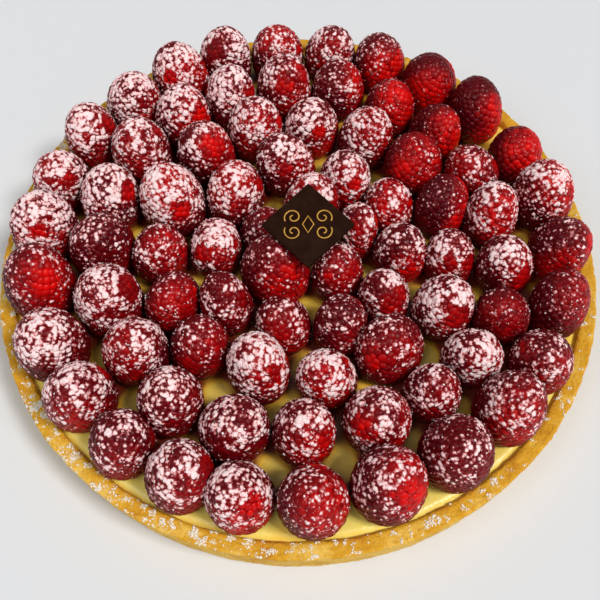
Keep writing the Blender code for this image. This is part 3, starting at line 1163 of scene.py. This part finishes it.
@dataclass
class IcingSugar:
    """Clumps of icing sugar, each a small blob of its own."""

    per_berry: int = 146           # clumps on a berry that sugar hides whole
    tries_each: int = 3            # places tried for each of them
    patch: float = 1.1 * MM        # how far clumps keep together
    grain: float = 0.24 * MM       # half the width of a usual clump
    least: float = 0.12 * MM
    most: float = 0.50 * MM
    grain_spread: float = 0.38
    flatness: float = 0.42
    ragged: float = 0.28           # how uneven a clump's outline is
    sunk: float = 0.05             # how deep a clump sits in, over its height
    seed: int = 5
    blob: Stamp = field(init=False)
    rng: np.random.Generator = field(init=False)

    def __post_init__(self) -> None:
        """Make the blob that every clump repeats: a low dome, closed below."""
        self.blob = Stamp.ball(6, 4, cut_at=-0.3)
        self.rng = np.random.default_rng(self.seed)

    def add(self, batch: Batch, points: np.ndarray, normals: np.ndarray, soak: float) -> None:
        """Add a clump at each point.

        Args:
            batch: Where the clumps go.
            points: Places on a surface.
            normals: The surface's outward normals there.
            soak: How pink the clumps are, 0 to 1.
        """
        count = len(points)
        if not count:
            return
        half = self.grain * np.exp(self.rng.normal(0, self.grain_spread, count))
        half = np.clip(half, self.least, self.most)
        thick = half * self.flatness
        scales = np.stack([half, half * self.rng.uniform(0.6, 1.0, count), thick], 1)
        places = points + normals * (thick * (1 - 2 * self.sunk))[:, None]
        frames = upright_frames(normals, self.rng.uniform(0, math.tau, count))
        points, triangles = self.blob.at(places, frames, scales)
        corners = len(self.blob.points)
        middles = np.repeat(places, corners, 0)
        uneven = 1 + self.ragged * self.rng.uniform(-1, 1, (len(points), 1))
        wet = np.repeat(self.rng.uniform(0, soak, count), corners)
        batch.add(middles + (points - middles) * uneven, triangles, soak=wet)

    def berry_clumps(self, berry: Raspberry) -> tuple[np.ndarray, np.ndarray]:
        """Choose where sugar clumps on a berry's drupelets.

        Args:
            berry: The raspberry.

        Returns:
            Points on its drupelets and the normals there.
        """
        centres, frames, scales = berry.domes
        tries = self.per_berry * self.tries_each
        which = self.rng.choice(len(centres), tries, p=berry.load / berry.load.sum())
        rise = self.rng.uniform(0.62, 1, tries)
        turn = self.rng.uniform(0, math.tau, tries)
        local = around(turn, np.sqrt(1 - rise**2), rise)
        points = centres[which] + turned(frames[which], local * scales[which])
        normals = unit(turned(frames[which], local / scales[which]))
        cover = berry.cover(points, normals)
        clump = 0.5 + perlin(points, self.patch, 7)
        wanted = self.rng.uniform(0, 1, tries) < 1.1 * cover * smoothstep(0.3, 0.65, clump)
        return points[wanted], normals[wanted]

    def build_on_berries(self, berries: list[Raspberry], material: bpy.types.Material) -> None:
        """Build the clumps on all berries as one piece.

        Args:
            berries: The raspberries.
            material: The sugar.
        """
        batch = Batch()
        for berry in berries:
            self.add(batch, *self.berry_clumps(berry), soak=0.9)
        finish_piece(batch.to_object("sugar_on_fruit", True), material, None)


# ---------------------------------------------------------------- pastry and custard


@dataclass
class PastryCase:
    """The baked case, with the rim that the solid has and finer crumbs and crags."""

    node: str = "crust"
    steps: int = 840
    rim_width: float = 6.8 * MM
    edge_round: float = 1.3 * MM
    foot_inset: float = 1.2 * MM
    wall_rows: int = 26
    lump: float = 0.42 * MM
    crumb: float = 0.26 * MM
    baked_in: float = 0.25 * MM    # lumps start this far inside the solid
    sugar_tries: int = 27000       # places tried for clumps of sugar on the rim
    sugar_side: float = -132       # degrees round Z; most of the sugar lies there
    radius: float = field(init=False)
    height: float = field(init=False)
    floor: float = field(init=False)
    points: np.ndarray = field(init=False)

    def __post_init__(self) -> None:
        """Read the size of the case from its solid."""
        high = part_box(self.node)[1]
        self.radius = high.x
        self.height = high.z
        self.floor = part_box("custard")[0].z
        self.points = node_points(self.node)

    def sunk(self, angles: np.ndarray) -> np.ndarray:
        """Find how deep the solid's rim has sunk.

        Args:
            angles: Angles round Z.

        Returns:
            How far the rim lies below the case's height, at each.
        """
        crown = self.points[self.points[:, 2] > self.height - self.edge_round * 0.6]
        at = polar(crown)[1]
        order = np.argsort(at)
        return self.height - np.interp(angles, at[order], crown[order, 2], period=math.tau)

    def outline(self) -> Outline:
        """Draw the section, from the floor's middle over the rim to the foot's.

        Returns:
            Its points as (radius, height).
        """
        inner = self.radius - self.rim_width
        bend, top = self.edge_round, self.height
        section = [(0, self.floor), (inner * 0.5, self.floor), (inner, self.floor)]
        section += [(inner, top - bend - step * MM) for step in (9, 6, 4, 2)]
        arc = [math.pi / 2 * i / 6 for i in range(7)]
        section += [(inner + bend * (1 - math.cos(turn)), top - bend * (1 - math.sin(turn)))
                    for turn in arc]
        flat = self.rim_width - 2 * bend
        section += [(inner + bend + flat * i / 12, top) for i in range(1, 12)]
        section += [(self.radius - bend * (1 - math.sin(turn)), top - bend * (1 - math.cos(turn)))
                    for turn in arc]
        foot, toe = self.radius - self.foot_inset, 1.6 * MM
        for i in range(1, self.wall_rows + 1):
            share = i / self.wall_rows
            height = (top - bend) * (1 - share) + toe * share
            section.append((self.radius - self.foot_inset * share, height))
        return section + [(foot - 0.5 * MM, 0.5 * MM), (foot - toe, 0), (foot * 0.5, 0), (0, 0)]

    def build(self, material: bpy.types.Material) -> bpy.types.Object:
        """Build the case: the section turned about Z, then lumps and crumbs.

        Args:
            material: The pastry.

        Returns:
            The case.
        """
        bm = spin_section(self.outline(), self.steps)
        self.roughen(bm)
        piece = object_from_bmesh("pastry_case", bm)
        self.write_attributes(piece)
        return finish_piece(piece, material, Slot.PASTRY, self.node)

    def relief(self, points: np.ndarray) -> np.ndarray:
        """Return how far lumps and crumbs move the surface out, in metres."""
        lumps = perlin(points, 6 * MM, 1) + 0.5 * perlin(points, 2.2 * MM, 2)
        return lumps * self.lump + perlin(points, 1.3 * MM, 4) * self.crumb - self.baked_in

    def roughen(self, bm: bmesh.types.BMesh) -> None:
        """Move the surface in and out: the solid's own crags, then lumps and crumbs.

        Args:
            bm: The case.
        """
        bm.normal_update()
        verts = bm.verts[:]
        points = places_of(verts)
        normals = np.array([vert.normal for vert in verts])
        across, angles = polar(points)
        near_top = smoothstep(self.height - 2.5 * MM, self.height, points[:, 2])
        above_foot = smoothstep(0.2 * MM, 2.5 * MM, points[:, 2])
        outside = across > self.radius - self.rim_width - 0.1 * MM
        move = normals * (self.relief(points) * above_foot * outside)[:, None]
        move[:, 2] -= self.sunk(angles) * near_top
        for vert, shift in zip(verts, move.tolist()):
            vert.co += Vector(shift)

    def write_attributes(self, piece: bpy.types.Object) -> None:
        """Write how baked each point is, with painted shade along the rim's inner edge, and how sugared
        it is.

        Args:
            piece: The case.
        """
        points = places_of(piece.data.vertices)
        across = polar(points)[0]
        top = smoothstep(self.height - 2.2 * MM, self.height - 0.6 * MM, points[:, 2])
        inner = self.radius - self.rim_width
        # Painted shade, partly deeper baking: the rim's top grows browner towards its inner edge, where
        # it meets the custard.
        edge = 1 - smoothstep(inner, inner + 2.4 * MM, across)
        blotches = 0.26 * perlin(points, 12 * MM, 12) + 0.16 * perlin(points, 3.4 * MM, 13)
        low = smoothstep(0.5 * self.height, 0, points[:, 2])
        bake = 0.34 * top + 0.40 * edge * top + (0.10 - 0.08 * low) * (1 - top) + blotches
        write_values(piece.data, bake=bake, cover=self.sugar_cover(points) * top)

    def sugar_cover(self, points: np.ndarray) -> np.ndarray:
        """Find how much sugar lies along the rim: most of it in front and to the left.

        Args:
            points: Places on the case.

        Returns:
            0 for none to 1 and over for all, for each point.
        """
        front = np.cos(polar(points)[1] - math.radians(self.sugar_side)) * 0.5 + 0.5
        drift = 0.22 * perlin(points, 11 * MM, 6) + 0.20 * perlin(points, 3.2 * MM, 14)
        clumps = 0.8 * smoothstep(0.08, 0.58, perlin(points, 2.4 * MM, 8) * (0.4 + front))
        return np.clip(0.40 * front**1.5 + drift, 0, 0.6) + clumps

    def sugar_places(self, rng: np.random.Generator) -> tuple[np.ndarray, np.ndarray]:
        """Choose where sugar clumps on the rim.

        Args:
            rng: Draws the places.

        Returns:
            Points on the rim and the normals there.
        """
        angle = rng.uniform(-math.pi, math.pi, self.sugar_tries)
        share = rng.uniform(0.06, 0.94, self.sugar_tries)
        past_flat = self.rim_width * np.abs(share - 0.5) - (self.rim_width / 2 - self.edge_round)
        lean = np.arcsin(np.clip(past_flat / self.edge_round, 0, 1)) * np.sign(0.5 - share)
        normals = around(angle, np.sin(lean), np.cos(lean))
        height = self.height - self.edge_round * (1 - np.cos(lean))
        points = around(angle, self.radius - self.rim_width * share, height)
        wanted = rng.uniform(0.35, 1.1, self.sugar_tries) < self.sugar_cover(points)
        points, normals = points[wanted], normals[wanted]
        sunk = self.sunk(angle[wanted])
        points += normals * self.relief(points)[:, None]
        points[:, 2] -= sunk
        return points, normals


@dataclass
class Custard:
    """The filling between the berries."""

    node: str = "custard"
    steps: int = 480
    rings: int = 90
    # Between the berries the skin never takes less painted shade than this.
    inner_shade: float = 0.22
    shade: tuple[float, float] = (0.45, 1.35)  # how many berries near make it darker
    shade_reach: float = 4 * MM    # how near they have to be
    open_from: float = 99 * MM     # this far out it stays clean
    wave: float = 0.22 * MM
    under_rim: float = 0.9 * MM    # it reaches into the pastry, so no gap shows
    edge_drop: float = 1.0 * MM
    edge_width: float = 2.6 * MM

    def juice(self, points: np.ndarray, berries: list[Raspberry]) -> np.ndarray:
        """Find how dark the berries' juices and painted shade make the skin, deepest between close
        berries.

        Args:
            points: Places on the skin.
            berries: The raspberries that stand on it.

        Returns:
            0 for clean to 1 for darkest, for each point.
        """
        near = np.zeros(len(points))
        for berry in berries:
            gap = np.maximum(polar(points - berry.foot)[0] - berry.width * berry.foot_reach / 2, 0)
            near += np.exp(-(gap / self.shade_reach) ** 2)
        inside = 1 - smoothstep(self.open_from, self.open_from + 6 * MM, polar(points)[0])
        return np.maximum(smoothstep(*self.shade, near), self.inner_shade) * inside

    def build(self, material: bpy.types.Material, berries: list[Raspberry]) -> bpy.types.Object:
        """Build the filling's skin as a turned sheet, closed below.

        Args:
            material: The custard.
            berries: The raspberries that stand on it.

        Returns:
            The filling.
        """
        low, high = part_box(self.node)
        edge = high.x + self.under_rim
        section = [(edge * i / self.rings, high.z) for i in range(1, self.rings)]
        section = [point for point in section if point[0] < high.x - self.edge_width]
        for i in range(7):
            share = i / 6
            drop = self.edge_drop * share * share
            section.append((high.x - self.edge_width * (1 - share), high.z - drop))
        section += [(edge, high.z - self.edge_drop * 1.3), (edge, low.z + 2 * MM)]
        bm = spin_section(section, self.steps)
        points = places_of(bm.verts)
        lift = perlin(points, 14 * MM, 9) * self.wave + perlin(points, 4 * MM, 10) * self.wave * 0.4
        top = points[:, 2] > high.z - self.edge_drop * 1.1
        for vert, up, on_top in zip(bm.verts, lift.tolist(), top.tolist()):
            if on_top:
                vert.co.z += up - self.wave * 0.5
        piece = object_from_bmesh("custard_filling", bm)
        points = places_of(piece.data.vertices)
        cover = np.clip(0.02 + 0.12 * perlin(points, 16 * MM, 11), 0, 1)
        write_values(piece.data, cover=cover, juice=self.juice(points, berries))
        return finish_piece(piece, material, Slot.CUSTARD, self.node)


# ---------------------------------------------------------------- plaque


@dataclass
class Plaque:
    """The chocolate square with its gold ornament."""

    node: str = "plaque"
    side: float = 24.5 * MM
    thickness: float = 1.8 * MM
    bevel: float = 0.25 * MM
    line: float = 0.26 * MM        # half the width of a gold line
    print_height: float = 0.06 * MM
    scroll_at: tuple[float, float] = (5.6, 3.0)      # the ornament is in millimetres
    scroll_radius: float = 3.4
    scroll_turn: tuple[float, float] = (-30, 470)    # degrees: its start, and how far it turns
    scroll_points: int = 40
    lozenge: tuple[float, float] = (2.1, 3.5)        # half its width and half its height
    pose: Matrix = field(init=False)

    def __post_init__(self) -> None:
        """Read the plaque's pose from its solid."""
        points = node_points(self.node)
        middle = points.mean(0)
        _, _, axes = np.linalg.svd(points - middle, full_matrices=False)
        normal = axes[2] * np.sign(axes[2][2])
        corner = points[points[:, 0].argmax()] - middle
        corner -= normal * (corner @ normal)
        right = corner / np.linalg.norm(corner)
        up = np.cross(normal, right)
        pose = Matrix(np.stack([right, up, normal], 1).tolist()).to_4x4()
        self.pose = Matrix.Translation(middle.tolist()) @ pose

    def build(self, chocolate: bpy.types.Material, gold: bpy.types.Material) -> None:
        """Build the square and the gold print on it.

        Args:
            chocolate: The square's material.
            gold: The print's material.
        """
        bm = bmesh.new()
        bmesh.ops.create_cube(bm, size=1)
        bmesh.ops.scale(bm, verts=bm.verts, vec=(self.side, self.side, self.thickness))
        turn = Matrix.Rotation(math.pi / 4, 3, "Z")
        bmesh.ops.rotate(bm, verts=bm.verts, cent=(0, 0, 0), matrix=turn)
        bmesh.ops.bevel(bm, geom=bm.edges[:], offset=self.bevel, affect="EDGES", segments=3,
                        profile=0.5, material=-1)
        bmesh.ops.transform(bm, matrix=self.pose, verts=bm.verts)
        finish_piece(object_from_bmesh("chocolate_plaque", bm), chocolate, Slot.CHOCOLATE, self.node)
        self.build_print(gold)

    def stroke(self, points: Outline, closed: bool) -> bpy.types.Object:
        """Draw a thin gold line on the plaque.

        Args:
            points: The points that it goes through, in millimetres.
            closed: Whether its ends meet.

        Returns:
            The line as a curve.
        """
        curve = bpy.data.curves.new("stroke", "CURVE")
        curve.dimensions = "3D"
        spline = curve.splines.new("POLY")
        spline.points.add(len(points) - 1)
        height = self.thickness / 2
        for target, (x, y) in zip(spline.points, points):
            target.co = (x * MM, y * MM, height, 1)
        spline.use_cyclic_u = closed
        curve.bevel_depth = self.line
        curve.bevel_resolution = 1
        curve.use_fill_caps = True
        return link_object("stroke", curve)

    def ornament(self) -> list[tuple[Outline, bool]]:
        """Draw a plain fleuron: two scrolls on each side of a small lozenge.

        Returns:
            Its lines, each with whether its ends meet.
        """
        start, swing = self.scroll_turn
        scroll = []
        for i in range(self.scroll_points):
            t = i / (self.scroll_points - 1)
            turn = math.radians(start + swing * t)
            radius = self.scroll_radius * (1 - 0.82 * t)
            scroll.append((self.scroll_at[0] + radius * math.cos(turn),
                           self.scroll_at[1] + radius * math.sin(turn)))
        lines = [([(flip_x * x, flip_y * y) for x, y in scroll], False)
                 for flip_x in (1, -1) for flip_y in (1, -1)]
        wide, tall = self.lozenge
        return lines + [([(wide, 0), (0, tall), (-wide, 0), (0, -tall)], True)]

    def build_print(self, gold: bpy.types.Material) -> None:
        """Build the gold print as one flat piece on the plaque.

        Args:
            gold: Its material.
        """
        bm = bmesh.new()
        for points, closed in self.ornament():
            obj = self.stroke(points, closed)
            bpy.context.view_layer.update()
            depsgraph = bpy.context.evaluated_depsgraph_get()
            mesh = bpy.data.meshes.new_from_object(obj.evaluated_get(depsgraph), depsgraph=depsgraph)
            bm.from_mesh(mesh)
            bpy.data.objects.remove(obj, do_unlink=True)
        bmesh.ops.remove_doubles(bm, verts=bm.verts[:], dist=MERGE_DISTANCE)
        surface = self.thickness / 2
        for vert in bm.verts:
            vert.co.z = surface + (vert.co.z - surface) * self.print_height / self.line
        bmesh.ops.transform(bm, matrix=self.pose, verts=bm.verts)
        finish_piece(object_from_bmesh("gold_ornament", bm), gold, None)


# ---------------------------------------------------------------- studio


@dataclass
class Studio:
    """The floor, the lights and the camera."""

    rim_radius: float = 120 * MM
    rim_height: float = 22 * MM
    camera_back: float = 1.353     # over the rim's radius
    camera_up: float = 2.271       # over the rim's radius, above the rim
    camera_pitch: float = 62.63    # degrees, down from the horizon
    camera_turn: float = -0.24
    focal_length: float = 46.74    # mm
    sensor_width: float = 36       # mm
    floor_color: Color = (0.705, 0.715, 0.73)
    world_color: Color = (0.93, 0.96, 1.0)
    world_strength: float = 0.32

    def build(self) -> None:
        """Build everything round the tart."""
        self.build_floor()
        self.build_world()
        self.add_area("key", (4.70, -2.20, 8.00), size=2.4, power=625.0, color=(1.0, 0.985, 0.965))
        self.add_area("fill", (-0.90, -0.70, 1.80), size=1.2, power=12.0, color=(0.97, 0.985, 1.0))
        self.add_camera()

    def build_floor(self) -> None:
        """Build the plain pale floor."""
        bm = bmesh.new()
        bmesh.ops.create_grid(bm, x_segments=1, y_segments=1, size=3)
        floor = object_from_bmesh("floor", bm, smooth=False)
        material = bpy.data.materials.new("pale_floor")
        material.use_nodes = True
        shader = material.node_tree.nodes["Principled BSDF"]
        shader.inputs["Base Color"].default_value = (*self.floor_color, 1)
        shader.inputs["Roughness"].default_value = 1.0
        shader.inputs["Specular IOR Level"].default_value = 0.1
        floor.data.materials.append(material)

    def build_world(self) -> None:
        """Light the scene evenly from all round."""
        world = bpy.data.worlds.new("studio")
        world.use_nodes = True
        back = world.node_tree.nodes["Background"]
        back.inputs["Color"].default_value = (*self.world_color, 1)
        back.inputs["Strength"].default_value = self.world_strength
        bpy.context.scene.world = world

    @staticmethod
    def add_area(name: str, place: tuple[float, float, float], size: float, power: float,
                 color: Color) -> None:
        """Add a soft light that faces the tart.

        Args:
            name: The light's name.
            place: Where it hangs.
            size: The side of its square.
            power: Its power in watts.
            color: Its colour.
        """
        light = bpy.data.lights.new(name, "AREA")
        light.energy = power
        light.size = size
        light.color = color
        obj = link_object(name, light)
        obj.location = place
        obj.rotation_euler = Vector(place).to_track_quat("Z", "Y").to_euler()

    def add_camera(self) -> None:
        """Add the camera at the photograph's place."""
        camera = bpy.data.cameras.new("camera")
        camera.lens = self.focal_length
        camera.sensor_width = self.sensor_width
        camera.clip_start = 0.02
        obj = link_object("camera", camera)
        back = self.rim_radius * self.camera_back
        obj.location = (0, -back, self.rim_height + self.rim_radius * self.camera_up)
        turn = Matrix.Rotation(math.radians(self.camera_turn), 3, "Z")
        pitch = Matrix.Rotation(math.radians(90 - self.camera_pitch), 3, "X")
        obj.rotation_euler = (turn @ pitch).to_euler()
        bpy.context.scene.camera = obj


def main() -> None:
    """Build the tart's pieces in order and report each one."""
    logging.basicConfig(level=logging.INFO, format="%(name)s %(message)s")
    bpy.context.scene.view_settings.view_transform = "Standard"
    case = PastryCase()
    case.build(PastryFinish().material())
    crown = RaspberryCrown()
    crown.build(FruitFinish().material())
    Custard().build(CustardFinish().material(), crown.berries)
    sugar = IcingSugar()
    white = SugarFinish().material()
    sugar.build_on_berries(crown.berries, white)
    rim = Batch()
    sugar.add(rim, *case.sugar_places(sugar.rng), soak=0.0)
    warm = SugarFinish("icing_sugar_on_pastry", dry=(0.95, 0.88, 0.76)).material()
    finish_piece(rim.to_object("sugar_on_rim", True), warm, None)
    Plaque().build(ChocolateFinish().material(), GoldFinish().material())
    Studio().build()


if __name__ == "__main__":
    main()
